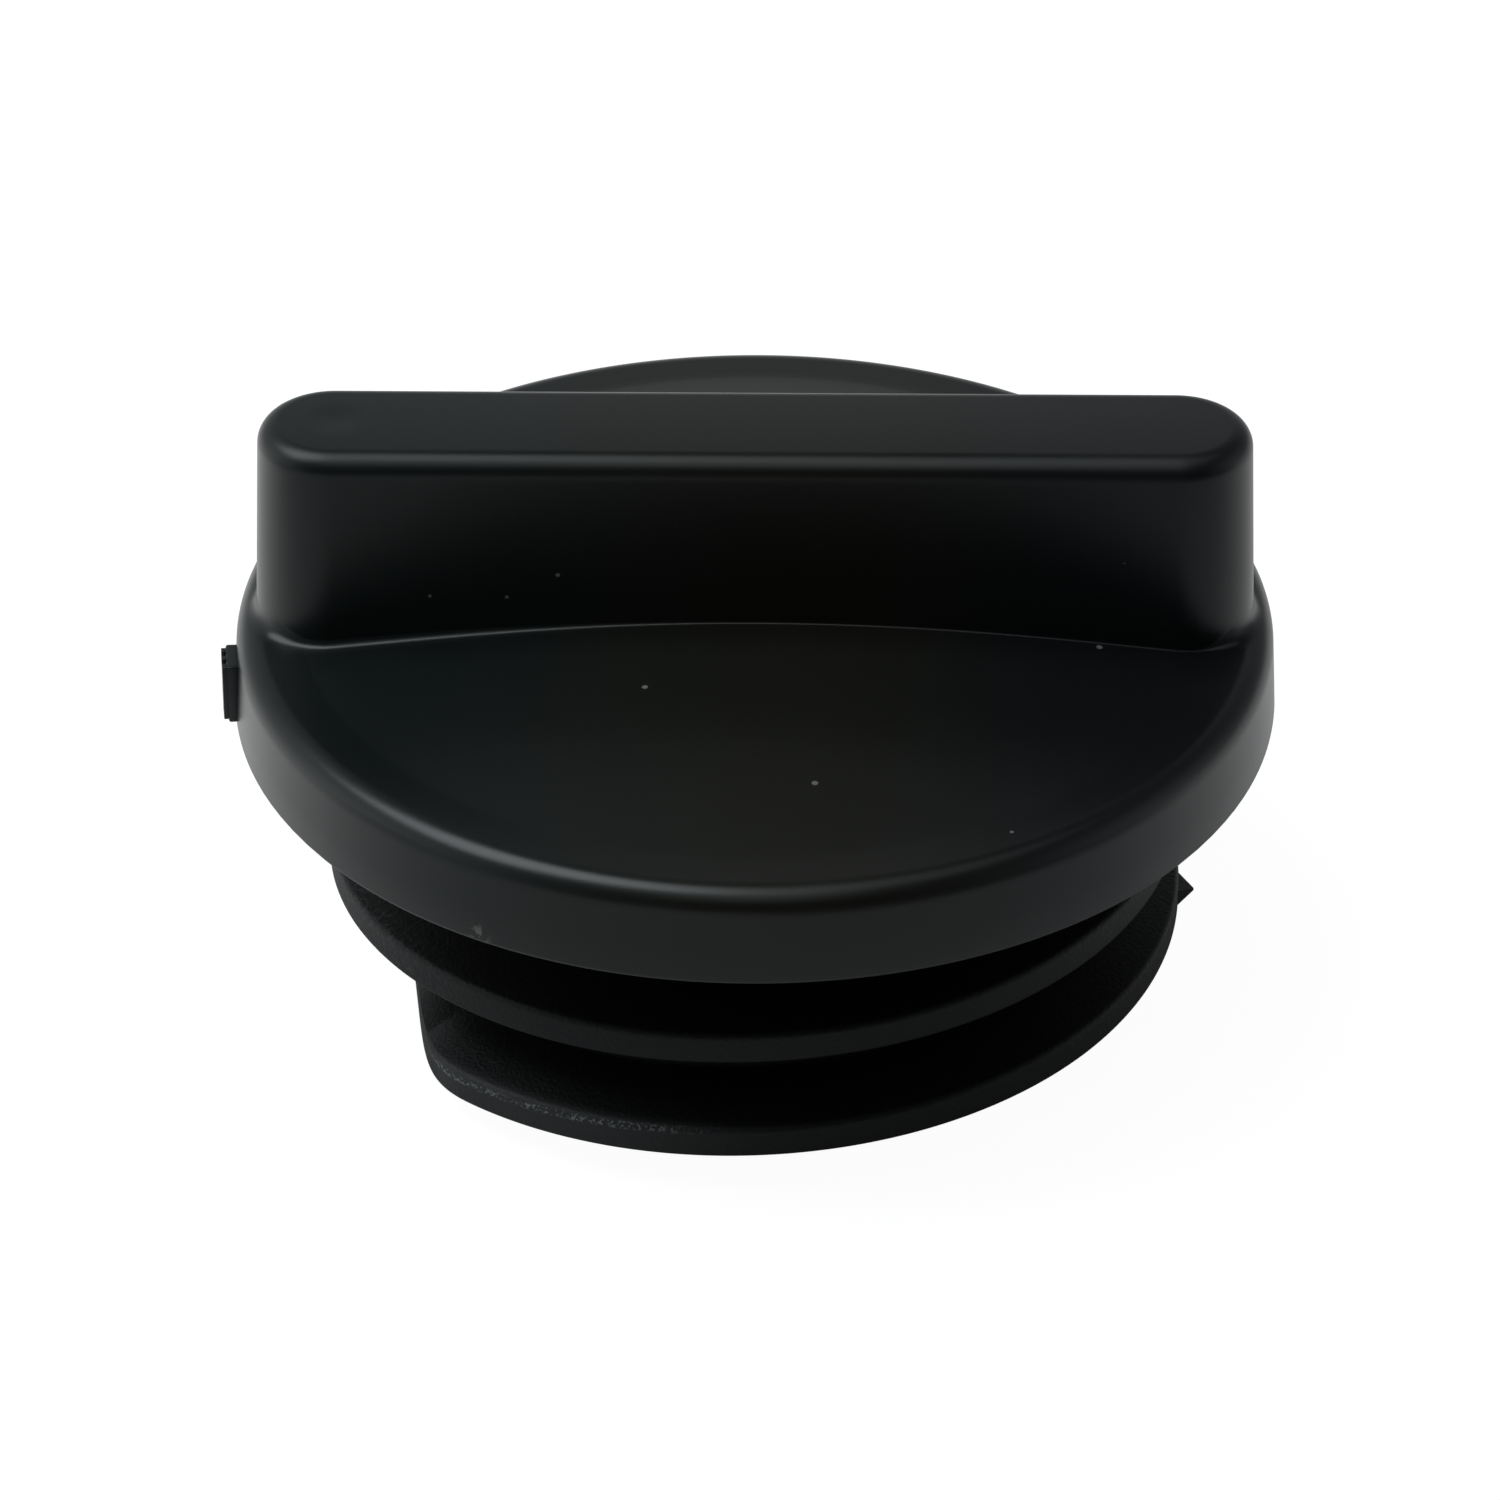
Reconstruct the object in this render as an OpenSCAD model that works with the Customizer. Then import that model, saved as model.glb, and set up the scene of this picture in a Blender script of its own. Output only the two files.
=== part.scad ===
// Screw-in oil filler cap: a moulded grip cover snapped over a threaded plug, with a flat sealing ring.
// The origin is on the cap's axis, in the plane where the sealing ring meets the filler neck's rim.
// +Z points out of the engine, and the grip bar runs along X.

/* [Head] */
// Height from the skirt's lower edge to the flat of the rim
rim_h = 6.7; // [6:0.1:9]
// Radius of the rounded rim
rim_round = 1.75; // [0.6:0.05:1.9]
// Rise of the dome above the flat of the rim
dome_rise = 2.2; // [0.6:0.1:4]
// Width of the flat between the dome's foot and the skirt's outside
rim_flat_w = 4.5; // [3:0.25:8]
// Wall of the head
cover_wall = 2; // [1.6:0.1:2.4]
// Draft of the skirt's outside, in degrees
skirt_draft = 3; // [0.5:0.25:4]
// Chamfer on the skirt's lower edge
skirt_chamfer = 0.35; // [0.1:0.05:0.6]

/* [Grip bar] */
// Height of the bar above the flat of the rim
grip_h = 14.3; // [10:0.1:20]
// Width of the bar at its top
grip_w = 10; // [8.5:0.1:13]
// Distance from the bar's foot at its end to the skirt's outside
grip_inset = 1.6; // [1.2:0.05:4]
// Draft of the bar's sides and ends, in degrees
grip_draft = 2; // [0.5:0.25:3]
// Radius along the bar's top edge
grip_round = 1.5; // [0.5:0.1:2.5]
// Wall of the hollow bar
grip_wall = 2.2; // [1.6:0.1:2.8]
// How far each cross web's outer face lies past the centre of the bar's round end
web_end = 0.3; // [0.1:0.1:0.9]
// Thickness of a cross web
web_t = 1.6; // [1:0.1:2.4]

/* [Index pad] */
// Direction of the pad's middle from the axis, in degrees
pad_a = 185.5; // [183:0.5:200]
// Number of ribs on the pad
pad_ribs = 3; // [2:1:6]
// Angle from one rib to the next, in degrees
pad_rib_step = 1.6; // [1.4:0.1:3]
// Height of the pad
pad_h = 4.4; // [2:0.1:4.6]
// How far the pad's floor stands out from the skirt
pad_floor = 0.5; // [0.3:0.05:1]
// How far each rib stands out from the pad's floor
pad_rib_h = 0.3; // [0.15:0.05:0.6]

/* [Plug] */
// Outside diameter of the neck under the thread
neck_d = 47.2; // [42:0.1:54]
// Wall of the neck
neck_wall = 2.5; // [1.8:0.1:3.5]
// Depth of the plug below the sealing plane
plug_depth = 21.9; // [19:0.1:28]
// Thickness of the flange that the cover holds
flange_t = 1.8; // [1.4:0.1:2.6]
// Chamfer round the neck's lower edge
neck_chamfer = 0.8; // [0.3:0.1:1.5]

/* [Thread] */
// How far the thread's crests stand out from the neck
thread_out = 5.35; // [4:0.05:7]
// Rise of the thread in one turn
thread_pitch = 7.5; // [6.5:0.1:8.5]
// Height of the thread's outer face
crest_h = 1.7; // [1.2:0.1:2.2]
// Radius along the crest's upper edge
crest_round = 0.8; // [0.3:0.1:1.2]
// Slope of the upper flank, in degrees
flank_a = 15; // [5:1:20]
// Slope of the lower flank, in degrees
under_a = 8; // [2:1:12]
// Height of the thread's start above the neck's lower end
thread_lift = 2.2; // [1.5:0.1:4]
// Length of full thread in turns
thread_turns = 1.64; // [1.2:0.02:1.7]
// Radius of the corner where the start meets the crest
start_round = 4; // [1:0.1:6]
// How far the detent nib stands out from the crest
nib_out = 1.05; // [0.4:0.05:1.4]

/* [Sealing ring] */
// Thickness of the sealing ring
seal_t = 2; // [1.5:0.1:3]
// Width of the sealing ring, from its bore to its outside
seal_w = 7.6; // [6:0.1:12]

/* [Snap fit] */
// Gap between the flange's edge and the skirt's inside
flange_gap = 0.4; // [0.2:0.05:0.6]
// How far the snap beads reach under the flange
bead_hold = 0.35; // [0.2:0.05:0.5]
// Height of a snap bead
bead_h = 1.2; // [0.8:0.1:1.4]
// Number of drive keys, with as many snap beads between them
key_count = 4; // [3:1:6]
// Width of a drive key
key_w = 4.6; // [3:0.1:6]
// Depth of a drive key inwards from the skirt
key_deep = 1.4; // [1:0.1:1.8]
// Clearance round a drive key in its notch
key_gap = 0.25; // [0.15:0.05:0.4]
// Clearance between the sealing ring and the neck
seal_gap = 0.3; // [0.2:0.05:0.5]
// Clearance between the sealing ring and the snap beads round it
seal_edge_gap = 0.75; // [0.4:0.05:1.2]

/* [Hidden] */
$fn = 96;

// Overlap that joins two solids of one moulding
weld = 0.6;
// Gap between a snap bead and the flange above it
bead_gap = 0.1;

neck_r = neck_d / 2;
neck_in_r = neck_r - neck_wall;
neck_z = -plug_depth;

// The neck carries the ring, the flange covers it, and the skirt closes round both
seal_r = neck_r + seal_gap + seal_w;
flange_r = seal_r + seal_edge_gap + bead_hold;
skirt_in_r = flange_r + flange_gap;
cap_r = skirt_in_r + cover_wall;

flange_top = seal_t + flange_t;
rim_z = flange_top + cover_wall;
skirt_z = rim_z - rim_h;
rim_r = cap_r - (rim_h - rim_round - skirt_chamfer) * tan(skirt_draft);
dome_r = cap_r - rim_flat_w;
dome_power = 1.2;
dome_steps = 24;

grip_top = rim_z + grip_h;
grip_foot = rim_z - cover_wall / 2;
grip_half_w = grip_w / 2;
grip_foot_half_w = grip_half_w + grip_h * tan(grip_draft);
grip_end_x = cap_r - grip_inset - grip_foot_half_w;
web_x = grip_end_x + web_end - web_t / 2;

crest_r = neck_r + thread_out;
thread_z = neck_z + thread_lift;
root_r = neck_r - weld;

// The thread starts on a flat that touches the neck here, a few degrees off the line of the mould's slides
start_a = 186;
// Angle from there to the middle of the rounded corner, and to the corner's two ends
corner_a = acos((neck_r - start_round) / (crest_r - start_round));
corner_in_a = atan((crest_r - start_round) * sin(corner_a) / neck_r);
thread_a = 360 * thread_turns;
ring_step = 5;

// Points of an arc round [x, y]
function arc(x, y, r, from, to, steps) =
    [for (i = [0 : steps]) let (a = from + (to - from) * i / steps) [x + r * cos(a), y + r * sin(a)]];

// Height of the dome above the flat of the rim, at a radius
function dome_h(r) = dome_rise * pow(max(0, 1 - pow(r / dome_r, 2)), dome_power);

// Points along the dome from the axis to its foot, over a base height
function dome_points(base) =
    [for (i = [0 : dome_steps]) let (r = dome_r * i / dome_steps) [r, base + dome_h(r)]];

function reversed(list) = [for (i = [len(list) - 1 : -1 : 0]) list[i]];

// Half of the head's section: dome, rounded rim, skirt and the same wall all round
module head_section() {
    outside = concat(
        dome_points(rim_z),
        arc(rim_r - rim_round, rim_z - rim_round, rim_round, 90, 0, 10),
        [[cap_r, skirt_z + skirt_chamfer], [cap_r - skirt_chamfer, skirt_z], [skirt_in_r, skirt_z]]
    );
    inside = concat([[skirt_in_r, flange_top]], reversed(dome_points(flange_top)));
    polygon(concat(outside, inside));
}

// Half of the bar's section between two heights, with its draft and its rounded top edge.
// inset moves every face inwards by the same amount
module bar_half_section(bottom, inset, edge) {
    top = grip_top - inset;
    top_half_w = grip_half_w - inset;
    bottom_half_w = top_half_w + (top - bottom) * tan(grip_draft);
    edge_half_w = top_half_w + edge * tan(grip_draft);
    polygon(concat(
        [[0, bottom], [bottom_half_w, bottom]],
        arc(edge_half_w - edge, top - edge, edge, 0, 90, 8),
        [[0, top]]
    ));
}

// A bar with round ends, swept from that section
module bar(bottom, inset, edge) {
    for (side = [-1, 1])
        translate([side * grip_end_x, 0, 0])
            rotate_extrude() bar_half_section(bottom, inset, edge);
    translate([-grip_end_x, 0, 0])
        rotate([90, 0, 90])
            linear_extrude(2 * grip_end_x) {
                bar_half_section(bottom, inset, edge);
                mirror([1, 0, 0]) bar_half_section(bottom, inset, edge);
            }
}

// Cross webs that stiffen the hollow bar and stand on the flange
module webs() {
    web_w = 2 * (grip_foot_half_w - grip_wall + weld);
    for (side = [-1, 1])
        translate([side * web_x - web_t / 2, -web_w / 2, flange_top])
            cube([web_t, web_w, grip_h + cover_wall - grip_wall + weld]);
}

// One key on the skirt's inside, over the flange's thickness. grow gives the notch its clearance
module key(grow) {
    reach = key_deep + grow;
    translate([skirt_in_r - reach, -key_w / 2 - grow, seal_t])
        cube([reach + weld, key_w + 2 * grow, flange_t]);
}

// The snap beads run between the keys, just under the flange
module beads() {
    key_step = 360 / key_count;
    bead_a = key_step / 2;
    top = seal_t - bead_gap;
    bead_r = flange_r - bead_hold;
    for (i = [0 : key_count - 1])
        rotate([0, 0, (i + 0.5) * key_step - bead_a / 2 + key_step / 2])
            rotate_extrude(angle = bead_a)
                polygon([
                    [skirt_in_r + weld, top],
                    [bead_r, top],
                    [bead_r, top - bead_h / 3],
                    [skirt_in_r, top - bead_h],
                    [skirt_in_r + weld, top - bead_h]
                ]);
}

// A small ribbed pad low on the skirt, near one end of the grip
module index_pad() {
    pad_z = skirt_z + skirt_chamfer;
    span = pad_ribs * pad_rib_step;
    module slab(from, angle, out)
        rotate([0, 0, from])
            rotate_extrude(angle = angle)
                translate([cap_r - weld, pad_z]) square([weld + out, pad_h]);
    slab(pad_a - span / 2, span, pad_floor);
    for (i = [0 : pad_ribs - 1])
        slab(pad_a - span / 2 + (i + 0.25) * pad_rib_step, pad_rib_step / 2, pad_floor + pad_rib_h);
}

module grip_cover() {
    color([0.09, 0.1, 0.1]) {
        difference() {
            union() {
                rotate_extrude() head_section();
                bar(grip_foot, 0, grip_round);
            }
            bar(flange_top - weld, grip_wall, grip_round / 2);
        }
        intersection() {
            webs();
            bar(flange_top, weld, grip_round);
        }
        for (i = [0 : key_count - 1])
            rotate([0, 0, (i + 0.5) * 360 / key_count]) key(0);
        beads();
        index_pad();
    }
}

// Furthest radius of the thread at an angle from its start: the start's flat, its rounded corner, then the crest
function thread_limit(a) =
    let (reach = crest_r - start_round, side = reach * sin(a - corner_a))
    a < corner_in_a ? neck_r / cos(a)
    : a < corner_a ? reach * cos(a - corner_a) + sqrt(pow(start_round, 2) - pow(side, 2))
    : crest_r;

// The thread's section as [radius, height] points, from its lower root round the crest to its upper root
function thread_section() =
    let (
        low_round = 0.3,
        low = arc(crest_r - low_round, low_round, low_round, -90 + under_a, 0, 3),
        high = arc(crest_r - crest_round, crest_h, crest_round, 0, 90 - flank_a, 5),
        last = high[len(high) - 1]
    )
    concat(
        [[root_r, low[0][1] - (low[0][0] - root_r) * tan(under_a)]],
        low,
        high,
        [[root_r, last[1] + (last[0] - root_r) * tan(flank_a)]]
    );

// Angles from the start at which the thread's section is placed, closer together at the rounded corner
function thread_angles() =
    let (full_rings = ceil((thread_a - corner_a) / ring_step))
    concat(
        [for (i = [0 : 7]) corner_in_a * i / 8],
        [for (i = [0 : 4]) corner_in_a + (corner_a - corner_in_a) * i / 4],
        [for (i = [1 : full_rings]) corner_a + (thread_a - corner_a) * i / full_rings]
    );

// A single-start right-hand ridge, swept by placing its section at each angle
module thread() {
    section = thread_section();
    angles = thread_angles();
    n = len(section);
    rings = len(angles);
    points = [
        for (a = angles, p = section)
            let (r = min(p[0], thread_limit(a)), z = thread_z + p[1] + thread_pitch * (a - corner_a) / 360)
            [r * cos(start_a + a), r * sin(start_a + a), z]
    ];
    sides = [
        for (k = [0 : rings - 2], i = [0 : n - 1])
            let (j = (i + 1) % n, here = k * n, there = here + n)
            each [[here + i, there + j, there + i], [here + i, here + j, there + j]]
    ];
    last = (rings - 1) * n;
    ends = [for (i = [1 : n - 2]) each [[0, i + 1, i], [last, last + i, last + i + 1]]];
    polyhedron(points, concat(sides, ends), convexity = 6);
}

// A pointed nib on the crest, on the cap's right, that the filler neck's detent rides over
module nib() {
    nib_half_w = 1.4;
    nib_half_h = 0.75;
    nib_a = -2;
    nib_z = thread_z + crest_h / 2 + thread_pitch * (360 + nib_a - start_a - corner_a) / 360;
    foot = crest_r - weld / 2;
    tip = crest_r + nib_out;
    rotate([0, 0, nib_a])
        translate([0, 0, nib_z])
            intersection() {
                linear_extrude(2 * nib_half_h, center = true)
                    polygon([[foot, -nib_half_w], [tip, 0], [foot, nib_half_w]]);
                rotate([90, 0, 0])
                    linear_extrude(2 * nib_half_w, center = true)
                        polygon([[foot, -nib_half_h], [tip, 0], [foot, nib_half_h]]);
            }
}

// Half of the plug's section: the flange, its closed top and the open neck
module plug_section() {
    polygon([
        [0, flange_top],
        [flange_r, flange_top],
        [flange_r, seal_t],
        [neck_r, seal_t],
        [neck_r, neck_z + neck_chamfer],
        [neck_r - neck_chamfer, neck_z],
        [neck_in_r, neck_z],
        [neck_in_r, flange_top - neck_wall],
        [0, flange_top - neck_wall]
    ]);
}

module threaded_plug() {
    color([0.07, 0.07, 0.07]) {
        difference() {
            rotate_extrude() plug_section();
            for (i = [0 : key_count - 1])
                rotate([0, 0, (i + 0.5) * 360 / key_count]) key(key_gap);
        }
        thread();
        nib();
    }
}

module seal_ring() {
    color([0.13, 0.13, 0.13])
        difference() {
            cylinder(h = seal_t, r = seal_r);
            translate([0, 0, -seal_t]) cylinder(h = 3 * seal_t, r = neck_r + seal_gap);
        }
}

grip_cover();
threaded_plug();
seal_ring();
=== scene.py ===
# %% [markdown]
# # A screw-in oil filler cap
# The cap is two black mouldings and a rubber ring. The head is smooth satin plastic with a grip bar right
# across it. The plug below it is a rougher, grained plastic with a coarse thread. The ring seals between
# the two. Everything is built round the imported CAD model, in metres, with the axis of the cap on Z and the
# bar along X.

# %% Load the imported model
import math

import bmesh
import bpy
import numpy as np
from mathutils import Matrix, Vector


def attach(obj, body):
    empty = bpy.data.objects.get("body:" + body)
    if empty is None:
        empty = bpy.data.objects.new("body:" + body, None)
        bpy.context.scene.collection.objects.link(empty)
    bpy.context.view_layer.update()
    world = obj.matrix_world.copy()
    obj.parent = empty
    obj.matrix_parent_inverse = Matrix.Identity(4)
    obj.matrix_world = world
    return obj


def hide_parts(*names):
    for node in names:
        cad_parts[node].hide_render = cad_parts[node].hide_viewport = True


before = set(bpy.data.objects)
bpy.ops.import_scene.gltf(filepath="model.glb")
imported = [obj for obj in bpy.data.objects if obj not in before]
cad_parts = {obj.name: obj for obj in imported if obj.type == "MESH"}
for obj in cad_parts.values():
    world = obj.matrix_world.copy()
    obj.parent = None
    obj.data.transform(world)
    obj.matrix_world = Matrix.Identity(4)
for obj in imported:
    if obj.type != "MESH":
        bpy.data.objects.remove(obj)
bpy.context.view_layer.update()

# %% [markdown]
# ## Camera
# The photograph looks down on the cap by about a third of a right angle, from far away, so the round head
# is a calm ellipse. A long lens at 0.56 m gives the same perspective. The camera is turned a little about
# the axis, because the bar isn't quite square to it.

# %% Camera
MM = 0.001
CAMERA_RISE = math.radians(32.98)
CAMERA_TURN = math.radians(0.6)
CAMERA_FAR = 0.56
LENS = 198.4
SENSOR = 36
LOOK_AT = Vector((-0.33, -0.11, -5.56)) * MM

camera_data = bpy.data.cameras.new("camera")
camera_data.lens = LENS
camera_data.sensor_width = SENSOR
camera_data.clip_start = 0.01
camera_data.clip_end = 20
camera = bpy.data.objects.new("camera", camera_data)
bpy.context.scene.collection.objects.link(camera)
away = Vector((
    math.sin(CAMERA_TURN) * math.cos(CAMERA_RISE),
    -math.cos(CAMERA_TURN) * math.cos(CAMERA_RISE),
    math.sin(CAMERA_RISE),
))
camera.location = LOOK_AT + away * CAMERA_FAR
camera.rotation_euler = (math.pi / 2 - CAMERA_RISE, 0, CAMERA_TURN)
bpy.context.scene.camera = camera
print("camera at, mm:", [round(v / MM, 1) for v in camera.location])

# %% [markdown]
# ## Nodes written as sums
# A material or a Geometry Nodes tree is a graph, and its sums soon hide in boxes and wires. This small
# class wraps one output socket, so that `mask * 0.3 + 0.4` adds the two Math nodes by itself. Any other
# node comes from one method, `node`, which takes the node's type, its settings and what its sockets hold.

# %% Values and graphs
class Value:
    """One output socket. Sums on it add Math nodes."""

    def __init__(self, graph, socket):
        self.graph = graph
        self.socket = socket

    def out(self, name):
        """Another output of the same node."""
        return Value(self.graph, self.socket.node.outputs[name])

    def math(self, operation, *others):
        return self.graph.math(operation, self, *others)

    def __add__(self, other):
        return self.math("ADD", other)

    def __sub__(self, other):
        return self.math("SUBTRACT", other)

    def __rsub__(self, other):
        return self.graph.math("SUBTRACT", other, self)

    def __mul__(self, other):
        return self.math("MULTIPLY", other)

    def __truediv__(self, other):
        return self.math("DIVIDE", other)

    def __neg__(self):
        return self.math("MULTIPLY", -1)

    __radd__ = __add__
    __rmul__ = __mul__


class Graph:
    """The nodes of one tree."""

    def __init__(self, tree):
        self.tree = tree

    def put(self, socket, value):
        if isinstance(value, Value):
            self.tree.links.new(value.socket, socket)
        else:
            socket.default_value = value

    def node(self, kind, settings, sockets, out=0):
        made = self.tree.nodes.new(kind)
        for name, value in settings.items():
            setattr(made, name, value)
        for name, value in sockets.items():
            self.put(made.inputs[name], value)
        return Value(self, made.outputs[out]) if made.outputs else made

    def math(self, operation, *values):
        return self.node("ShaderNodeMath", {"operation": operation}, dict(enumerate(values)))

    def step(self, value, start, end):
        """0 before start, 1 after end, and smooth between them."""
        return self.node(
            "ShaderNodeMapRange", {"interpolation_type": "SMOOTHSTEP"},
            {"Value": value, "From Min": start, "From Max": end},
        )

    def blend(self, mask, first, second):
        """A colour that goes from first to second."""
        return self.node("ShaderNodeMix", {"data_type": "RGBA"}, {0: mask, 6: first, 7: second}, out=2)

    def parts(self, vector):
        split = self.node("ShaderNodeSeparateXYZ", {}, {0: vector})
        return split.out("X"), split.out("Y"), split.out("Z")

    def noise(self, vector, size, detail=2.0, rough=0.5):
        """Noise whose blots are about size metres across."""
        return self.node("ShaderNodeTexNoise", {}, {
            "Vector": vector, "Scale": 1 / size, "Detail": detail, "Roughness": rough,
        })

    def near(self, vector, point, start, end):
        """1 within start millimetres of a point given in millimetres, 0 beyond end."""
        spot = [v * MM for v in point]
        away = self.node("ShaderNodeVectorMath", {"operation": "DISTANCE"}, {0: vector, 1: spot}, out="Value")
        return 1 - self.step(away, start * MM, end * MM)


def new_material(name):
    """A material with its graph, its Object coordinates and a Principled shader to fill."""
    material = bpy.data.materials.new(name)
    material.use_nodes = True
    graph = Graph(material.node_tree)
    shader = material.node_tree.nodes["Principled BSDF"]
    place = graph.node("ShaderNodeTexCoord", {}, {}, out="Object")
    return material, graph, shader, place


def bumped(graph, shader, height):
    """Give a shader a bump of that height in metres."""
    bump = graph.node("ShaderNodeBump", {}, {"Strength": 1.0, "Distance": 1.0, "Height": height})
    graph.put(shader.inputs["Normal"], bump)

# %% [markdown]
# ## Satin plastic
# The head is moulded in black polypropylene from a finely blasted mould. It is nearly black by itself, and
# what the eye sees of it is a soft, wide reflection. So the base colour stays very dark, and its tint
# drifts from a cool black on the left to a warmer one in the middle and back. The roughness carries the
# look: it drifts with handling and is a little higher at the bar's ends. A few specks of dust lie on the
# head, there is one scuff on the skirt's lower edge, and over a web inside the bar the top has sunk by a
# hair.

# %% Satin plastic
DUST = [
    ((-7.10, -12.59, 7.42), 0.24), ((4.10, -22.71, 6.59), 0.26), ((22.91, -5.95, 6.52), 0.26),
    ((16.77, -27.11, 5.80), 0.17), ((-12.98, -5.30, 11.51), 0.18), ((-16.38, -5.36, 9.81), 0.15),
    ((-21.48, -5.36, 9.86), 0.14), ((16.30, -5.47, 6.73), 0.12),
]

COOL_BLACK = (0.0046, 0.0070, 0.0072, 1)
WARM_BLACK = (0.0066, 0.0068, 0.0044, 1)
BLUE_BLACK = (0.0040, 0.0048, 0.0056, 1)
DUST_GREY = (0.16, 0.16, 0.14, 1)
SCUFF = (-17.5, -30.35, -0.35)
SINK = (-27.7, 0.3, 20.1)

satin, graph, shader, place = new_material("satin_plastic")
x, _, z = graph.parts(place)
cloud = graph.noise(place, 0.02)
drift = x + cloud * 0.012
tint = graph.blend(graph.step(drift, -0.018, 0.006), COOL_BLACK, WARM_BLACK)
tint = graph.blend(graph.step(drift, 0.012, 0.028), tint, BLUE_BLACK)

speck = None
for point, size in DUST:
    spot = graph.near(place, point, size * 0.6, size)
    speck = spot if speck is None else speck.math("MAXIMUM", spot)
cells = graph.node("ShaderNodeTexVoronoi", {}, {"Vector": place, "Scale": 160.0})
cell_tone = graph.node("ShaderNodeSeparateColor", {}, {0: cells.out("Color")}, out="Red")
fine_dust = cells.math("LESS_THAN", 0.012) * cell_tone.math("GREATER_THAN", 0.72)
scuff = graph.near(place, SCUFF, 0.3, 1.1) * graph.step(graph.noise(place, 0.0004), 0.5, 0.62)
dust = speck.math("MAXIMUM", fine_dust * 0.5).math("MAXIMUM", scuff)
graph.put(shader.inputs["Base Color"], graph.blend(dust * 0.8, tint, DUST_GREY))

handled = graph.noise(place, 0.006, 3.0)
bar_ends = graph.step(x.math("ABSOLUTE"), 0.010, 0.030) * graph.step(z, 0.0190, 0.0199)
graph.put(shader.inputs["Roughness"], handled * 0.06 + 0.29 + bar_ends * 0.06 + dust * 0.3)

sink = graph.near(place, SINK, 0.0, 2.4)
mould = graph.noise(place, 0.00016)
bumped(graph, shader, mould * 0.000004 - sink * 0.00006)
shader.inputs["Specular IOR Level"].default_value = 0.4
shader.inputs["IOR"].default_value = 1.5
print("satin plastic:", len(satin.node_tree.nodes), "nodes")

# %% [markdown]
# ## Grained plastic
# The plug is a glass-filled nylon with a spark-eroded grain, so it scatters light and looks frosted where
# the edges are rubbed. The rubbed line lies along the upper edge of the lowest turn, on the left, where the
# thread bites first. A point's angle from the thread's start and its height above the thread's lower edge
# give that place. The line is made of pale specks that come and go. Below it the lowest turn's crest, on
# the left and in front, is painted a paler black, which is painted light, and the crests on the left carry
# a mottled patch of painted light as well.

# %% Grained plastic
START = math.radians(186)
PITCH = 7.5
THREAD_Z = -19.7
CREST_R = 28.95
NECK_R = 23.6
START_ROUND = 4.0
CORNER = math.acos((NECK_R - START_ROUND) / (CREST_R - START_ROUND))
BLACK = (0.0018, 0.0020, 0.0021, 1)
SOFT_BLACK = (0.0028, 0.0028, 0.0026, 1)
# A pale grey for the rubbed wear and for the painted light on the crests.
WEAR_AND_LIGHT_GREY = (0.19, 0.20, 0.20, 1)


def turns_between(graph, angle, start, end):
    """0 before an angle in degrees, 1 after another."""
    return graph.step(angle, math.radians(start), math.radians(end))


grained, graph, shader, place = new_material("grained_plastic")
x, y, z = graph.parts(place)
turned = graph.math("ARCTAN2", y, x) + (2 * math.pi - START)
angle = turned.math("MODULO", 2 * math.pi)
radius = (x * x + y * y).math("SQRT")
above = z - (THREAD_Z * MM - CORNER / (2 * math.pi) * PITCH * MM) - angle * (PITCH * MM / (2 * math.pi))
line_height = angle * 0.00060 + 0.00125
from_line = (above - line_height).math("ABSOLUTE")
edge_line = 1 - graph.step(from_line, 0.00008, 0.00034)
outer = graph.step(radius, 0.0272, 0.0282)
first_part = turns_between(graph, angle, 29, 36) * (1 - turns_between(graph, angle, 62, 82))
stretches = graph.step(graph.noise(place, 0.0025), 0.25, 0.50)
specks = graph.step(graph.noise(place, 0.00020), 0.50, 0.62) * stretches
rubbed = edge_line * outer * first_part * specks
grain = graph.noise(place, 0.00028, 3.0, 0.6)
patch = graph.noise(place, 0.005)
mottle = graph.step(graph.noise(place, 0.00045, 3.0, 0.7), 0.50, 0.66)
# Painted light: a mottled paler patch on the crests on the left, where the lamp on the left falls.
painted_left_light = graph.step(-x, 0.018, 0.026) * outer * mottle
# Painted light: the lowest turn's crest is painted a paler black on the left and in front.
lowest_turn = (1 - graph.step(above, 0.0030, 0.0040)) * (1 - turns_between(graph, angle, 60, 92))
painted_crest_light = graph.step(radius, 0.0280, 0.0288) * lowest_turn
# The rubbed line is wear; the crest tone and the mottled patch on the left are painted light, all mixed
# towards one pale grey.
wear_and_painted_light = rubbed + painted_crest_light * 0.14 + painted_left_light * 0.16 + outer * graph.step(grain, 0.6, 0.75) * 0.02
base = graph.blend(graph.step(patch, 0.3, 0.7), BLACK, SOFT_BLACK)
graph.put(shader.inputs["Base Color"], graph.blend(wear_and_painted_light, base, WEAR_AND_LIGHT_GREY))
graph.put(shader.inputs["Roughness"], grain * 0.1 + 0.45 + rubbed * 0.2)
bumped(graph, shader, grain * 0.00006)
shader.inputs["Specular IOR Level"].default_value = 0.26
print("grained plastic:", len(grained.node_tree.nodes), "nodes")

# %% [markdown]
# ## Seal rubber
# The ring is oil-proof rubber: dull, slightly brown in its black, with a fine bloom.

# %% Seal rubber
rubber, graph, shader, place = new_material("seal_rubber")
bloom = graph.noise(place, 0.0012, 4.0, 0.6)
brown_black = graph.blend(bloom, (0.010, 0.0098, 0.0095, 1), (0.020, 0.0195, 0.0185, 1))
graph.put(shader.inputs["Base Color"], brown_black)
graph.put(shader.inputs["Roughness"], bloom * 0.15 + 0.6)
bumped(graph, shader, graph.noise(place, 0.0002) * 0.00001)
shader.inputs["Specular IOR Level"].default_value = 0.35
print("seal rubber:", len(rubber.node_tree.nodes), "nodes")

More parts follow.
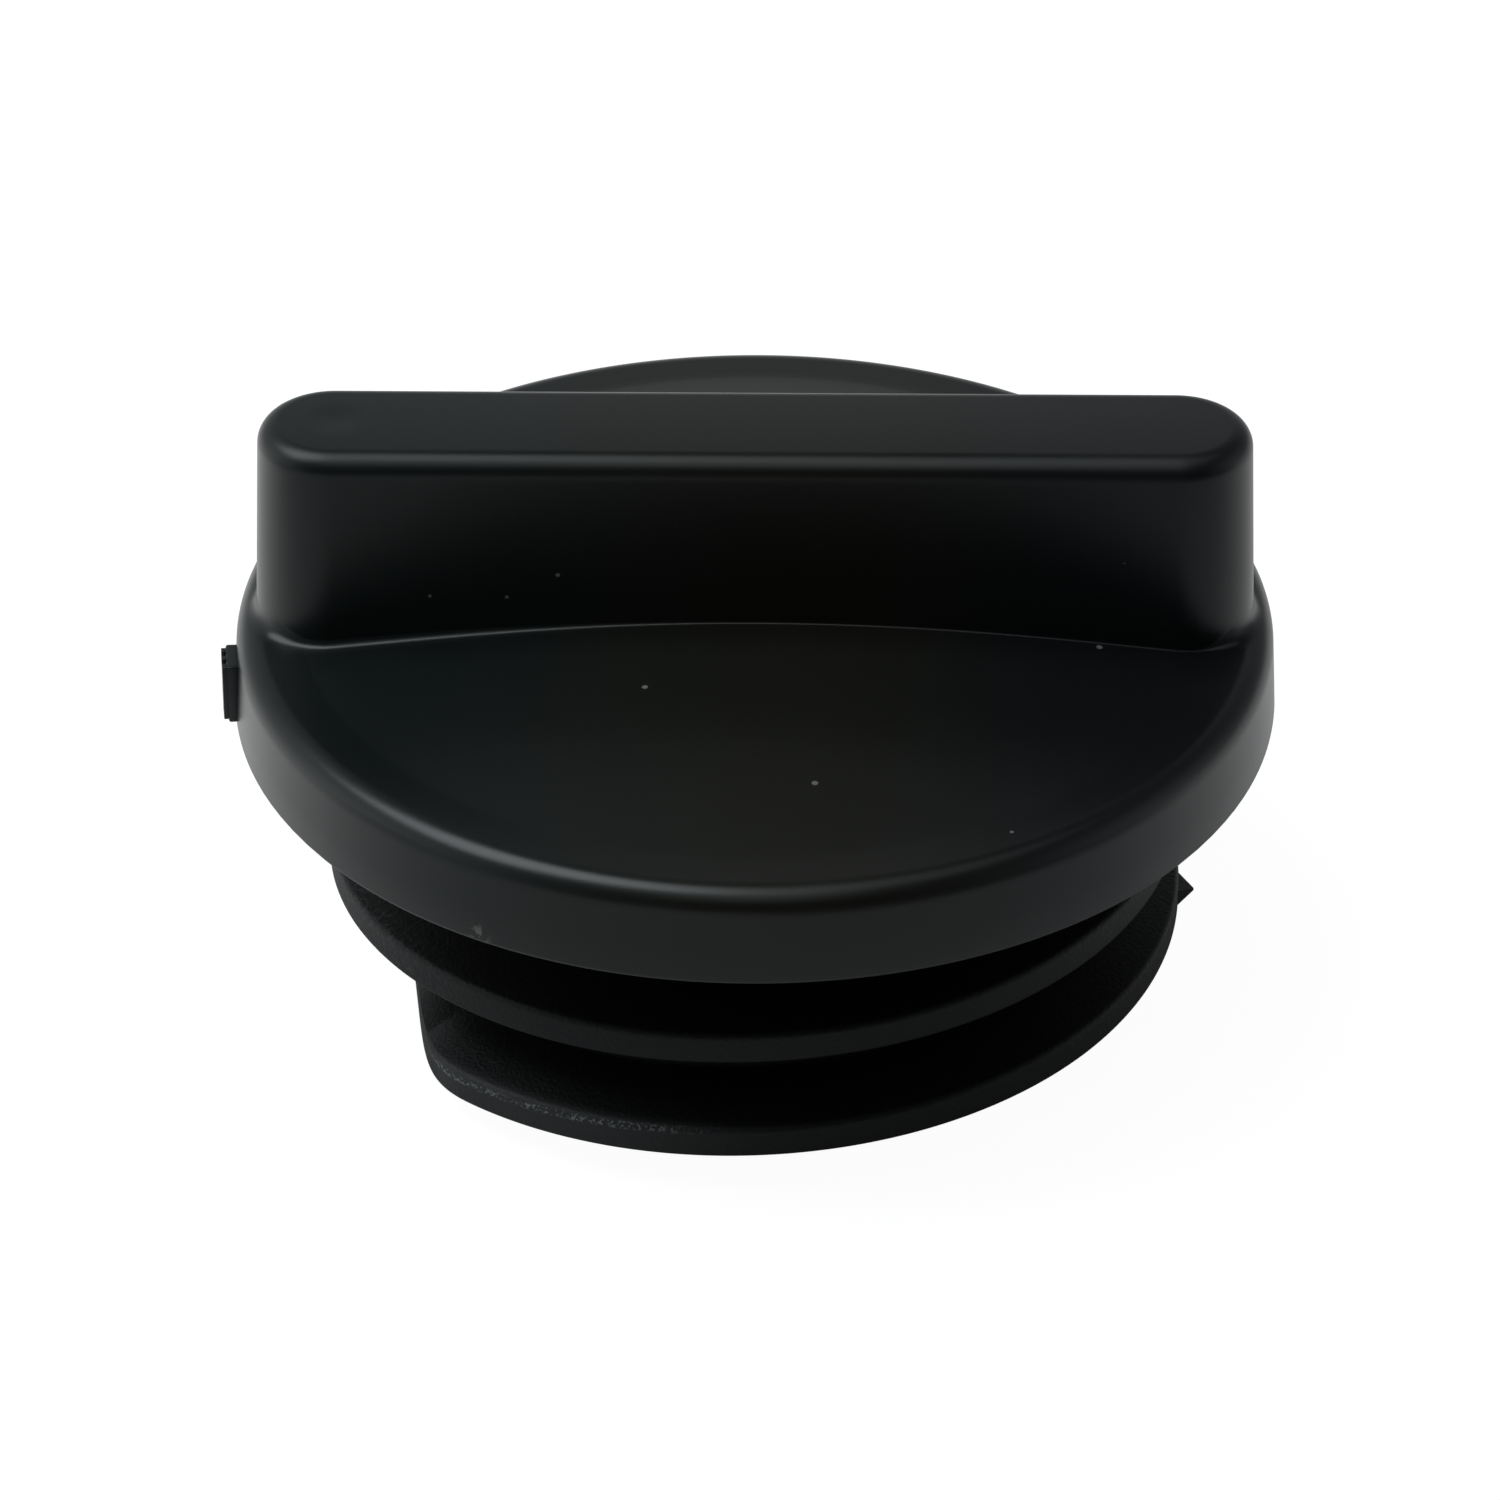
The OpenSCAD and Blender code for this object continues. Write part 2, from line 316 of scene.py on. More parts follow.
# %% [markdown]
# ## From points to a piece
# Every moulding here has soft corners, because a sharp inner corner cracks and a sharp outer one doesn't
# fill. One helper rounds the corners of a section, and one turns points in millimetres into a closed,
# smooth-shaded object: it joins points that coincide, caps an open end, and turns the faces outwards by the
# sign of the volume.

# %% Rounded sections and closed meshes
def rounded(corners, steps=5):
    """The points of a section, from corners of (x, z, radius)."""
    points = []
    for i, (cx, cz, radius) in enumerate(corners):
        corner = np.array((cx, cz))
        if not radius:
            points.append(corner)
            continue
        before = np.array(corners[i - 1][:2]) - corner
        after = np.array(corners[(i + 1) % len(corners)][:2]) - corner
        before /= np.linalg.norm(before)
        after /= np.linalg.norm(after)
        half = math.acos(float(np.clip(before @ after, -1, 1))) / 2
        centre = corner + (before + after) / np.linalg.norm(before + after) * radius / math.sin(half)
        first = corner + before * radius / math.tan(half) - centre
        last = corner + after * radius / math.tan(half) - centre
        sweep = math.pi - 2 * half
        for k in range(steps + 1):
            share = k / steps
            mixed = first * math.sin((1 - share) * sweep) + last * math.sin(share * sweep)
            points.append(centre + mixed / math.sin(sweep))
    return np.array(points)


def plain_mesh(name, points_mm, faces, material):
    """An object from points in millimetres and its faces."""
    mesh = bpy.data.meshes.new(name)
    mesh.from_pydata((np.asarray(points_mm) * MM).tolist(), [], faces)
    mesh.materials.append(material)
    piece = bpy.data.objects.new(name, mesh)
    bpy.context.scene.collection.objects.link(piece)
    return piece


def close_up(piece, crease=32):
    """Join points, cap open ends, face outwards and shade smooth up to a crease angle in degrees."""
    bm = bmesh.new()
    bm.from_mesh(piece.data)
    bmesh.ops.remove_doubles(bm, verts=bm.verts, dist=2e-7)
    bmesh.ops.dissolve_degenerate(bm, edges=bm.edges, dist=1e-7)
    open_edges = [edge for edge in bm.edges if edge.is_boundary]
    if open_edges:
        bmesh.ops.holes_fill(bm, edges=open_edges)
    bmesh.ops.recalc_face_normals(bm, faces=bm.faces)
    if bm.calc_volume(signed=True) < 0:
        bmesh.ops.reverse_faces(bm, faces=bm.faces)
    loose = sum(not edge.is_manifold for edge in bm.edges)
    volume = bm.calc_volume()
    bm.to_mesh(piece.data)
    bm.free()
    piece.data.shade_smooth()
    piece.data.set_sharp_from_angle(angle=math.radians(crease))
    print(f"{piece.name}: {len(piece.data.polygons)} faces, {volume * 1e9:.0f} mm3, open edges {loose}")
    return piece


def grid_faces(rows, columns):
    """Quads of a grid of rows by columns, closed round its columns."""
    faces = []
    for start in range(0, (rows - 1) * columns, columns):
        for c in range(columns):
            beside = (c + 1) % columns
            faces.append((start + c, start + beside, start + columns + beside, start + columns + c))
    return faces


def turned_piece(name, section, material, steps=192):
    """A closed section of (radius, height) points, turned round the axis."""
    if section[0][0] or section[-1][0]:
        section = np.vstack([section, section[:1]])
    turn = np.linspace(0, 2 * math.pi, steps, endpoint=False)
    points = [(r * math.cos(a), r * math.sin(a), h) for r, h in section for a in turn]
    return close_up(plain_mesh(name, points, grid_faces(len(section), steps), material))

# %% [markdown]
# ## The head
# The head is a shallow dome inside a flat ring, a rounded rim, a short skirt, and the grip bar, all one
# moulding. The bar meets the dome in a fillet of a few tenths of a millimetre, a little wider towards the
# left and at the bar's ends, which catches the light as a thin line. A bar and a disc could be joined with
# a Boolean and bevelled, but a bevel fails where the bar's ends run out over the rounded rim. So the whole
# face is one grid instead. Its columns leave the bar's middle line at right angles and run out to the rim,
# and its rows follow the bar's outline near the bar and the circle near the rim. Where a circle passes
# under the bar's foot, its row stops at the foot.

# %% Columns of the head's grid
CAP_R = 35.0
RIM_R = 34.76
RIM_Z = 5.8
SKIRT_Z = -0.9
RIM_ROUND = 1.75
DOME_R = 30.5
DOME_RISE = 2.2
DOME_POWER = 1.2
WALL = 2.0
SKIRT_IN_R = CAP_R - WALL
GRIP_TOP = 20.1
GRIP_HALF_W = 5.0
GRIP_ROUND = 1.5
GRIP_WALL = 2.2
DRAFT = math.tan(math.radians(2))
END_X = 27.9
PER_SIDE = 80
PER_END = 48

side_x = np.linspace(END_X, -END_X, PER_SIDE, endpoint=False)
end_turn = np.linspace(math.pi / 2, 3 * math.pi / 2, PER_END, endpoint=False)
foot_x = np.concatenate([side_x, np.full(PER_END, -END_X), -side_x, np.full(PER_END, END_X)])
heading = np.concatenate([
    np.full(PER_SIDE, math.pi / 2), end_turn, np.full(PER_SIDE, 3 * math.pi / 2), end_turn + math.pi,
])
head_x, head_y = np.cos(heading), np.sin(heading)


def reach(radius):
    """Distance from the bar's middle line to a circle round the axis, for each column."""
    along = foot_x * head_x
    return -along + np.sqrt(along ** 2 - foot_x ** 2 + radius ** 2)


def dome(radius):
    return DOME_RISE * np.maximum(0, 1 - (radius / DOME_R) ** 2) ** DOME_POWER


def axis_distance(out):
    return np.hypot(foot_x + head_x * out, head_y * out)


def face_height(out):
    """Height of the head's outer face at a distance from the bar's middle line."""
    radius = np.minimum(axis_distance(out), RIM_R)
    over = np.clip(radius - (RIM_R - RIM_ROUND), 0, RIM_ROUND)
    return RIM_Z + dome(radius) - RIM_ROUND + np.sqrt(RIM_ROUND ** 2 - over ** 2)


to_rim = reach(RIM_R)
print(f"columns: {len(foot_x)}, from {to_rim.min():.2f} to {to_rim.max():.2f} mm to the rim")

# %% Rows of the head's grid
def bar_width(height):
    """Half of the bar's width at a height, with the draft that lets it leave the mould."""
    return GRIP_HALF_W + (GRIP_TOP - height) * DRAFT


def hollow_width(height):
    return GRIP_HALF_W - GRIP_WALL + (GRIP_TOP - GRIP_WALL - height) * DRAFT


def settle(width, height, out):
    """Where a wall of that width meets a face of that height."""
    for _ in range(6):
        out = width(height(out))
    return out


def smooth(value, start, end):
    share = np.clip((value - start) / (end - start), 0, 1)
    return share * share * (3 - 2 * share)


FOOT_ROUND = 0.13
FOOT_ROUND_LEFT = 0.55
foot_width = bar_width(RIM_Z)
end_round = np.clip(0.45 * (to_rim - foot_width), 0.65, 1.4)
near_end = smooth(np.abs(foot_x + head_x * foot_width), 29.5, 32.5)
foot_round = FOOT_ROUND + (FOOT_ROUND_LEFT - FOOT_ROUND) * smooth(-foot_x, 0, 28)
foot_round = foot_round + near_end * (end_round - foot_round)

level = np.ones_like(foot_x)
rows = [(0 * level, GRIP_TOP * level)]

draft_a = math.atan(DRAFT)
edge_out = GRIP_HALF_W - GRIP_ROUND * (1 - math.sin(draft_a)) / math.cos(draft_a)
edge_z = GRIP_TOP - GRIP_ROUND
for a in np.linspace(math.pi / 2, draft_a, 14):
    rows.append(((edge_out + GRIP_ROUND * math.cos(a)) * level, (edge_z + GRIP_ROUND * math.sin(a)) * level))

foot_out = settle(bar_width, lambda out: face_height(out) + foot_round, 5.2 * level)
foot_z = face_height(foot_out) + foot_round
for share in (0.03, 0.25, 0.5, 0.75, 0.97):
    height = edge_z + (foot_z - edge_z) * share
    rows.append((bar_width(height), height))
for a in np.linspace(0, math.pi / 2, 9):
    out = foot_out + foot_round * (1 - math.cos(a))
    rows.append((out, face_height(out) + foot_round * (1 - math.sin(a))))

face_out = foot_out + foot_round
for q in np.linspace(0, 1, 20)[1:]:
    out = face_out + (np.maximum(reach(DOME_R), face_out) - face_out) * (q * q * (3 - 2 * q))
    rows.append((out, face_height(out)))
rim_turn = np.linspace(0, math.radians(87), 16)
for radius in [31.2, 32.1, 32.9, *(RIM_R - RIM_ROUND + RIM_ROUND * np.sin(rim_turn))]:
    out = np.maximum(reach(radius), face_out)
    rows.append((out, face_height(out)))

skirt = rounded([
    (RIM_R + 0.01, 3.9, 0), (RIM_R + 0.12, 1.7, 0), (CAP_R, SKIRT_Z, 0.35),
    (SKIRT_IN_R, SKIRT_Z, 0.2), (SKIRT_IN_R, 3.6, 0),
], 4)
for radius, height in skirt:
    rows.append((reach(radius), height * level))

under_z = RIM_Z - WALL
hollow_out = settle(hollow_width, lambda out: under_z + dome(axis_distance(out)), 3.0 * level)
for radius in (SKIRT_IN_R, 31.8, DOME_R):
    out = np.maximum(reach(radius), hollow_out)
    rows.append((out, under_z + dome(axis_distance(out))))
last_out = rows[-1][0]
for q in (0.15, 0.3, 0.5, 0.7, 0.85, 1):
    out = last_out + (hollow_out - last_out) * q
    rows.append((out, under_z + dome(axis_distance(out))))
HOLLOW_ROUND = 0.6
ceiling = GRIP_TOP - GRIP_WALL
hollow_z = rows[-1][1]
for share in (0.05, 0.5, 0.95):
    height = hollow_z + (ceiling - HOLLOW_ROUND - hollow_z) * share
    rows.append((hollow_width(height), height))
for a in np.linspace(0, math.pi / 2, 5):
    out = hollow_width(ceiling) - HOLLOW_ROUND * (1 - math.cos(a))
    rows.append((out * level, (ceiling - HOLLOW_ROUND * (1 - math.sin(a))) * level))
rows.append((0 * level, ceiling * level))

points = np.vstack([np.column_stack([foot_x + head_x * out, head_y * out, height]) for out, height in rows])
head = close_up(plain_mesh("head", points, grid_faces(len(rows), len(foot_x)), satin))

# %% [markdown]
# ## Ribs, keys and beads
# What repeats round the cap is one kind of block: a piece of a ring, from one radius to another, over a
# span of angle. The ribbed pad on the skirt, the drive keys and the snap beads inside it are all such
# blocks at different sizes, so one Geometry Nodes tree makes them. A cube's corners are laid out in radius,
# angle and height, and the block is placed at each step of angle. The pad's ribs end a little short of the
# pad, so that no two faces coincide.

# %% A tree for blocks of a ring
def new_tree(name, inputs):
    """A Geometry Nodes tree with a geometry input and output, named inputs, and its graph."""
    tree = bpy.data.node_groups.new(name, "GeometryNodeTree")
    tree.interface.new_socket("Geometry", in_out="INPUT", socket_type="NodeSocketGeometry")
    tree.interface.new_socket("Geometry", in_out="OUTPUT", socket_type="NodeSocketGeometry")
    for label, kind in inputs.items():
        tree.interface.new_socket(label, in_out="INPUT", socket_type=f"NodeSocket{kind}")
    graph = Graph(tree)
    return tree, graph, graph.node("NodeGroupInput", {}, {})


def end_tree(graph, geometry, given):
    """Every tree ends the same way, so that the result is plain geometry with a finish."""
    real = graph.node("GeometryNodeRealizeInstances", {}, {0: geometry})
    done = graph.node("GeometryNodeSetMaterial", {}, {0: real, "Material": given.out("Finish")})
    graph.node("NodeGroupOutput", {}, {0: done})


def grow(piece, tree, values):
    """Run a tree on a piece, keep the result as its plain mesh and take the modifier off."""
    modifier = piece.modifiers.new(tree.name, "NODES")
    modifier.node_group = tree
    for item in tree.interface.items_tree:
        if item.in_out == "INPUT" and item.name in values:
            modifier[item.identifier] = values[item.name]
    grown = bpy.data.meshes.new_from_object(piece.evaluated_get(bpy.context.evaluated_depsgraph_get()))
    piece.modifiers.remove(modifier)
    piece.data = grown
    return close_up(piece)


blocks, graph, given = new_tree("ring_blocks", {
    "Count": "Int", "Step": "Float", "First": "Float", "Span": "Float",
    "Inner foot": "Float", "Inner top": "Float", "Outer": "Float",
    "Bottom": "Float", "Height": "Float", "Finish": "Material",
})
cube = graph.node("GeometryNodeMeshCube", {}, {"Size": (1, 1, 1), "Vertices Y": 13})
x, y, z = graph.parts(graph.node("GeometryNodeInputPosition", {}, {}))
inner = given.out("Inner foot") + (given.out("Inner top") - given.out("Inner foot")) * (z + 0.5)
radius = inner + (given.out("Outer") - inner) * (x + 0.5)
angle = y * given.out("Span")
laid = graph.node("ShaderNodeCombineXYZ", {}, {
    0: radius * angle.math("COSINE"), 1: radius * angle.math("SINE"),
    2: given.out("Bottom") + (z + 0.5) * given.out("Height"),
})
block = graph.node("GeometryNodeSetPosition", {}, {"Geometry": cube, "Position": laid})
spots = graph.node("GeometryNodeMeshLine", {}, {"Count": given.out("Count"), "Offset": (0, 0, 0)})
turn = given.out("First") + graph.node("GeometryNodeInputIndex", {}, {}) * given.out("Step")
placed = graph.node("GeometryNodeInstanceOnPoints", {}, {
    "Points": spots, "Instance": block, "Rotation": graph.node("ShaderNodeCombineXYZ", {}, {2: turn}),
})
end_tree(graph, placed, given)


def ring_blocks(name, finish, count, step, first, span, inner, outer, bottom, height, inner_foot=None):
    """Blocks in millimetres and degrees."""
    piece = plain_mesh(name, [(0, 0, 0)], [], finish)
    return grow(piece, blocks, {
        "Count": count, "Step": math.radians(step), "First": math.radians(first), "Span": math.radians(span),
        "Inner foot": (inner if inner_foot is None else inner_foot) * MM, "Inner top": inner * MM,
        "Outer": outer * MM, "Bottom": bottom * MM, "Height": height * MM, "Finish": finish,
    })

# %% Pad, keys and beads of the head
def soften(piece, width):
    """A small bevel on a piece's edges, made real."""
    bevel = piece.modifiers.new("bevel", "BEVEL")
    bevel.width = width * MM
    bevel.segments = 2
    bevel.limit_method = "ANGLE"
    bevel.angle_limit = math.radians(40)
    piece.data = bpy.data.meshes.new_from_object(piece.evaluated_get(bpy.context.evaluated_depsgraph_get()))
    piece.modifiers.remove(bevel)
    return close_up(piece)


PAD_A = 185.5
PAD_RIBS = 3
RIB_STEP = 1.6
FLANGE_R = 32.6
SEAL_T = 2.0
FLANGE_TOP = 3.8
WELD = 0.6
PAD_H = 4.4
RIB_INSET = 0.15
pad_z = SKIRT_Z + 0.35
pad_span = PAD_RIBS * RIB_STEP
first_rib = PAD_A - pad_span / 2 + RIB_STEP / 2
pad = soften(ring_blocks("pad", satin, 1, 0, PAD_A, pad_span, CAP_R - WELD, CAP_R + 0.5, pad_z, PAD_H), 0.15)
ribs = soften(ring_blocks(
    "ribs", satin, PAD_RIBS, RIB_STEP, first_rib, RIB_STEP / 2,
    CAP_R, CAP_R + 0.8, pad_z + RIB_INSET, PAD_H - 2 * RIB_INSET,
), 0.12)

KEY_A = 45
KEY_SPAN = 8.2
KEY_IN = 1.4
keys = ring_blocks(
    "keys", satin, 4, 90, KEY_A, KEY_SPAN,
    SKIRT_IN_R - KEY_IN, SKIRT_IN_R + WELD, SEAL_T, FLANGE_TOP - SEAL_T,
)
beads = ring_blocks(
    "beads", satin, 4, 90, 0, 45, FLANGE_R - 0.35, SKIRT_IN_R + WELD, SEAL_T - 1.3, 1.2, SKIRT_IN_R,
)

# %% Webs in the bar's hollow
WEB_X = 27.4
WEB_HALF_T = 0.8
web_points = []
web_faces = []
for side in (-1, 1):
    start = len(web_points)
    for height in (FLANGE_TOP, GRIP_TOP - 1.2):
        half_w = bar_width(height) - 1.2
        for sx, sy in ((-1, -1), (1, -1), (1, 1), (-1, 1)):
            web_points.append((side * WEB_X + sx * WEB_HALF_T, sy * half_w, height))
    for face in ((0, 3, 2, 1), (4, 5, 6, 7), (0, 1, 5, 4), (1, 2, 6, 5), (2, 3, 7, 6), (3, 0, 4, 7)):
        web_faces.append([start + k for k in face])
webs = close_up(plain_mesh("webs", web_points, web_faces, satin))


def join(piece, others):
    """Put other pieces' faces into a piece, so that one moulding is one piece."""
    bm = bmesh.new()
    bm.from_mesh(piece.data)
    for other in others:
        bm.from_mesh(other.data)
    bm.to_mesh(piece.data)
    bm.free()
    for other in others:
        bpy.data.objects.remove(other)
    print(piece.name, "now has", len(piece.data.polygons), "faces")


join(head, [pad, ribs, keys, beads, webs])

# %% [markdown]
# ## The plug
# The plug is a tube with a closed top and a flange, which the head's beads hold. A turned section makes it.
# The four notches for the drive keys are cut from the flange with a Boolean, since they are simple and
# square.

# %% Neck and flange
NECK_IN_R = 21.1
NECK_Z = -21.9
PLUG_TOP_IN = 1.3
plug = turned_piece("plug", rounded([
    (0, FLANGE_TOP, 0), (FLANGE_R, FLANGE_TOP, 0.2), (FLANGE_R, SEAL_T, 0.2), (NECK_R, SEAL_T, 0.2),
    (NECK_R, NECK_Z, 0.8), (NECK_IN_R, NECK_Z, 0.35), (NECK_IN_R, PLUG_TOP_IN, 0.8), (0, PLUG_TOP_IN, 0),
]), grained)

notches = ring_blocks(
    "notches", grained, 4, 90, KEY_A, KEY_SPAN + 0.9, SKIRT_IN_R - KEY_IN - 0.25, SKIRT_IN_R + WELD,
    SEAL_T - 0.3, FLANGE_TOP - SEAL_T + 0.6,
)
cut = plug.modifiers.new("notches", "BOOLEAN")
cut.operation = "DIFFERENCE"
cut.solver = "EXACT"
cut.object = notches
plug.data = bpy.data.meshes.new_from_object(plug.evaluated_get(bpy.context.evaluated_depsgraph_get()))
plug.modifiers.remove(cut)
bpy.data.objects.remove(notches)
close_up(plug)

# %% [markdown]
# ## The thread
# The thread is one right-hand ridge, a little over one and a half turns. It starts in a flat that leaves
# the neck like a tangent, where the slides of the mould part, and rounds over onto the crest. The ridge
# follows a path, so Geometry Nodes make it: the tree lays a grid out as rings of the ridge's section, and
# places each ring by its angle. The start is one line of the sum, a smooth minimum of the section's radius
# and the flat's distance from the axis.

# %% The thread's section
FLANK = math.tan(math.radians(15))
UNDER = math.tan(math.radians(8))
THREAD_TURNS = 1.64
ROOT_R = NECK_R - 0.04
ridge_out = CREST_R - ROOT_R
under_crest = 0.04
over_crest = 2.2
under_root = under_crest - ridge_out * UNDER
over_root = over_crest + ridge_out * FLANK
section = rounded([
    (NECK_R - WELD, under_root - 0.6, 0), (ROOT_R, under_root - 0.6, 0),
    (ROOT_R, under_root, 0.5), (CREST_R, under_crest, 0.3),
    (CREST_R, over_crest, 0.5), (ROOT_R, over_root, 0.5),
    (ROOT_R, over_root + 0.9, 0), (NECK_R - WELD, over_root + 0.9, 0),
], 6)
section = np.vstack([section, section[:1]])
print(f"section: {len(section)} points, {np.ptp(section[:, 1]):.2f} mm high at the neck")

# %% The thread's tree
sweep, graph, given = new_tree("thread_sweep", {
    "Section points": "Int", "Rings": "Int", "Start": "Float", "Sweep": "Float",
    "Corner": "Float", "Pitch": "Float", "Lift": "Float",
    "Neck radius": "Float", "Softness": "Float", "Finish": "Material",
})
grid = graph.node("GeometryNodeMeshGrid", {}, {
    "Size X": 1.0, "Size Y": 1.0, "Vertices X": given.out("Rings"), "Vertices Y": given.out("Section points"),
})
index = graph.node("GeometryNodeInputIndex", {}, {})
ring = ((index + 0.25) / given.out("Section points")).math("FLOOR")
place_in_section = index - ring * given.out("Section points")
sampled = graph.node(
    "GeometryNodeSampleIndex", {"data_type": "FLOAT_VECTOR", "domain": "POINT"},
    {"Geometry": given.out("Geometry"), "Value": graph.node("GeometryNodeInputPosition", {}, {}),
     "Index": place_in_section + 0.25},
)
out_r, up, _ = graph.parts(sampled)
angle = ring / (given.out("Rings") - 1) * given.out("Sweep")
flat = given.out("Neck radius") / angle.math("MINIMUM", math.radians(65)).math("COSINE")
tail = given.out("Neck radius") + (given.out("Sweep") - angle) * given.out("Neck radius") * 2.5
radius = graph.math("SMOOTH_MIN", out_r, flat, given.out("Softness"))
radius = graph.math("SMOOTH_MIN", radius, tail, given.out("Softness"))
turn = angle + given.out("Start")
rise = given.out("Lift") + up + (angle - given.out("Corner")) * given.out("Pitch") / (2 * math.pi)
laid = graph.node("ShaderNodeCombineXYZ", {}, {
    0: radius * turn.math("COSINE"), 1: radius * turn.math("SINE"), 2: rise,
})
ridge = graph.node("GeometryNodeSetPosition", {}, {"Geometry": grid, "Position": laid})
end_tree(graph, ridge, given)

thread = plain_mesh("thread", [(r, h, 0) for r, h in section], [], grained)
grow(thread, sweep, {
    "Section points": len(section), "Rings": 592, "Start": START, "Sweep": 2 * math.pi * THREAD_TURNS,
    "Corner": CORNER, "Pitch": PITCH * MM, "Lift": THREAD_Z * MM, "Neck radius": NECK_R * MM,
    "Softness": START_ROUND * MM, "Finish": grained,
})

# %% [markdown]
# ## The nib
# A small pointed nib stands on the crest at the right. The filler neck's spring rides over it, so the cap
# is felt to click home. Four sloping faces to a blunt point are enough for a thing of this size.

# %% Nib on the crest
NIB_TURN = math.radians(-2)
nib_z = THREAD_Z + 0.85 + PITCH * (2 * math.pi + NIB_TURN - START - CORNER) / (2 * math.pi)
NIB_OUT = 1.05
SIGNS = ((-1, -1), (1, -1), (1, 1), (-1, 1))
nib_points = [(CREST_R - 0.3, sy * 1.4, nib_z + sz * 0.75) for sy, sz in SIGNS]
nib_points += [(CREST_R + NIB_OUT, sy * 0.06, nib_z + sz * 0.05) for sy, sz in SIGNS]
nib_points = [
    (x * math.cos(NIB_TURN) - y * math.sin(NIB_TURN), x * math.sin(NIB_TURN) + y * math.cos(NIB_TURN), z)
    for x, y, z in nib_points
]
nib_faces = [(0, 1, 2, 3), (4, 5, 6, 7), (0, 1, 5, 4), (1, 2, 6, 5), (2, 3, 7, 6), (3, 0, 4, 7)]
nib = close_up(plain_mesh("nib", nib_points, nib_faces, grained))
join(plug, [thread, nib])

# %% [markdown]
# ## The sealing ring
# A flat ring of rubber lies under the flange. Its edges are rounded by the trim, so it is a turned section
# too.

# %% Sealing ring
seal = turned_piece("sealing_ring", rounded([
    (31.5, 0, 0.3), (31.5, SEAL_T, 0.2), (NECK_R + 0.3, SEAL_T, 0.2), (NECK_R + 0.3, 0, 0.3),
]), rubber, 160)

# %% Place the pieces on the frame
for piece, node, finish in (
    (head, "grip_cover", "satin_plastic"),
    (plug, "threaded_plug", "grained_plastic"),
    (seal, "seal_ring", "seal_rubber"),
):
    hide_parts(node)
    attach(piece, "root")
    print(piece.name, "stands for", node)

# %% [markdown]
# ## Floor and world
# The cap stands on its neck's lower rim on a white sweep. The floor is a plain white surface that keeps the
# shadow, and to the camera it also glows, so that it reads as white paper: 0.77 of a glow of 1.25 is nearly
# white, and the rest shows the paper itself. In the cap's reflections the paper carries painted light: a
# painted pool of light makes it bright behind the cap, most of all on the left, it stays dark in front, and a
# painted shadow darkens it right beside the neck, as the plug's tones show. The paper in front on the right
# is dim, a painted shade. The world is white to the camera. For light and reflections it is five soft white
# walls on the left, behind and on the right, and one very weak one behind the camera.

# %% Floor
FLOOR_HALF = 3
PAPER_GLOW = 1.25
CAMERA_SHARE = 0.77
floor_mesh = bpy.data.meshes.new("floor")
corners = [(sx * FLOOR_HALF, sy * FLOOR_HALF, NECK_Z * MM) for sx, sy in SIGNS]
floor_mesh.from_pydata(corners, [], [(0, 1, 2, 3)])
floor = bpy.data.objects.new("floor", floor_mesh)
bpy.context.scene.collection.objects.link(floor)
paper = bpy.data.materials.new("white_paper")
paper.use_nodes = True
paper.node_tree.nodes.clear()
graph = Graph(paper.node_tree)
x, y, _ = graph.parts(graph.node("ShaderNodeTexCoord", {}, {}, out="Object"))
# Painted shadow: the glow in reflections fades out close round the neck.
clear_of_painted_shadow = graph.step((x * x + y * y).math("SQRT"), 0.034, 0.058)
# Painted light: a pool of light on the paper behind the cap, strongest on the left.
behind = graph.step(y, -0.06, 0.03) * (1 - graph.step(x, -0.05, 0.05) * 0.45) * clear_of_painted_shadow
# Painted shade: the paper in front on the right is given a much darker diffuse colour.
painted_shade_front = graph.step(-y, 0.08, 0.14) * graph.step(x, -0.04, 0.04)
light_path = graph.node("ShaderNodeLightPath", {}, {}, out="Is Camera Ray")
near_paper = graph.node("ShaderNodeBsdfDiffuse", {}, {"Color": (0.6, 0.6, 0.6, 1)})
painted_shade_paper = graph.node("ShaderNodeBsdfDiffuse", {}, {"Color": (0.12, 0.12, 0.12, 1)})
white = graph.node("ShaderNodeMixShader", {}, {0: painted_shade_front, 1: near_paper, 2: painted_shade_paper})
glow = graph.node("ShaderNodeEmission", {}, {"Color": (1, 1, 1, 1), "Strength": PAPER_GLOW})
reflected = light_path.out("Is Glossy Ray") + light_path.out("Is Transmission Ray")
shown = light_path * CAMERA_SHARE + reflected * (behind * 0.75 + 0.05)
mixed = graph.node("ShaderNodeMixShader", {}, {0: shown, 1: white, 2: glow})
graph.node("ShaderNodeOutputMaterial", {}, {0: mixed})
floor.data.materials.append(paper)

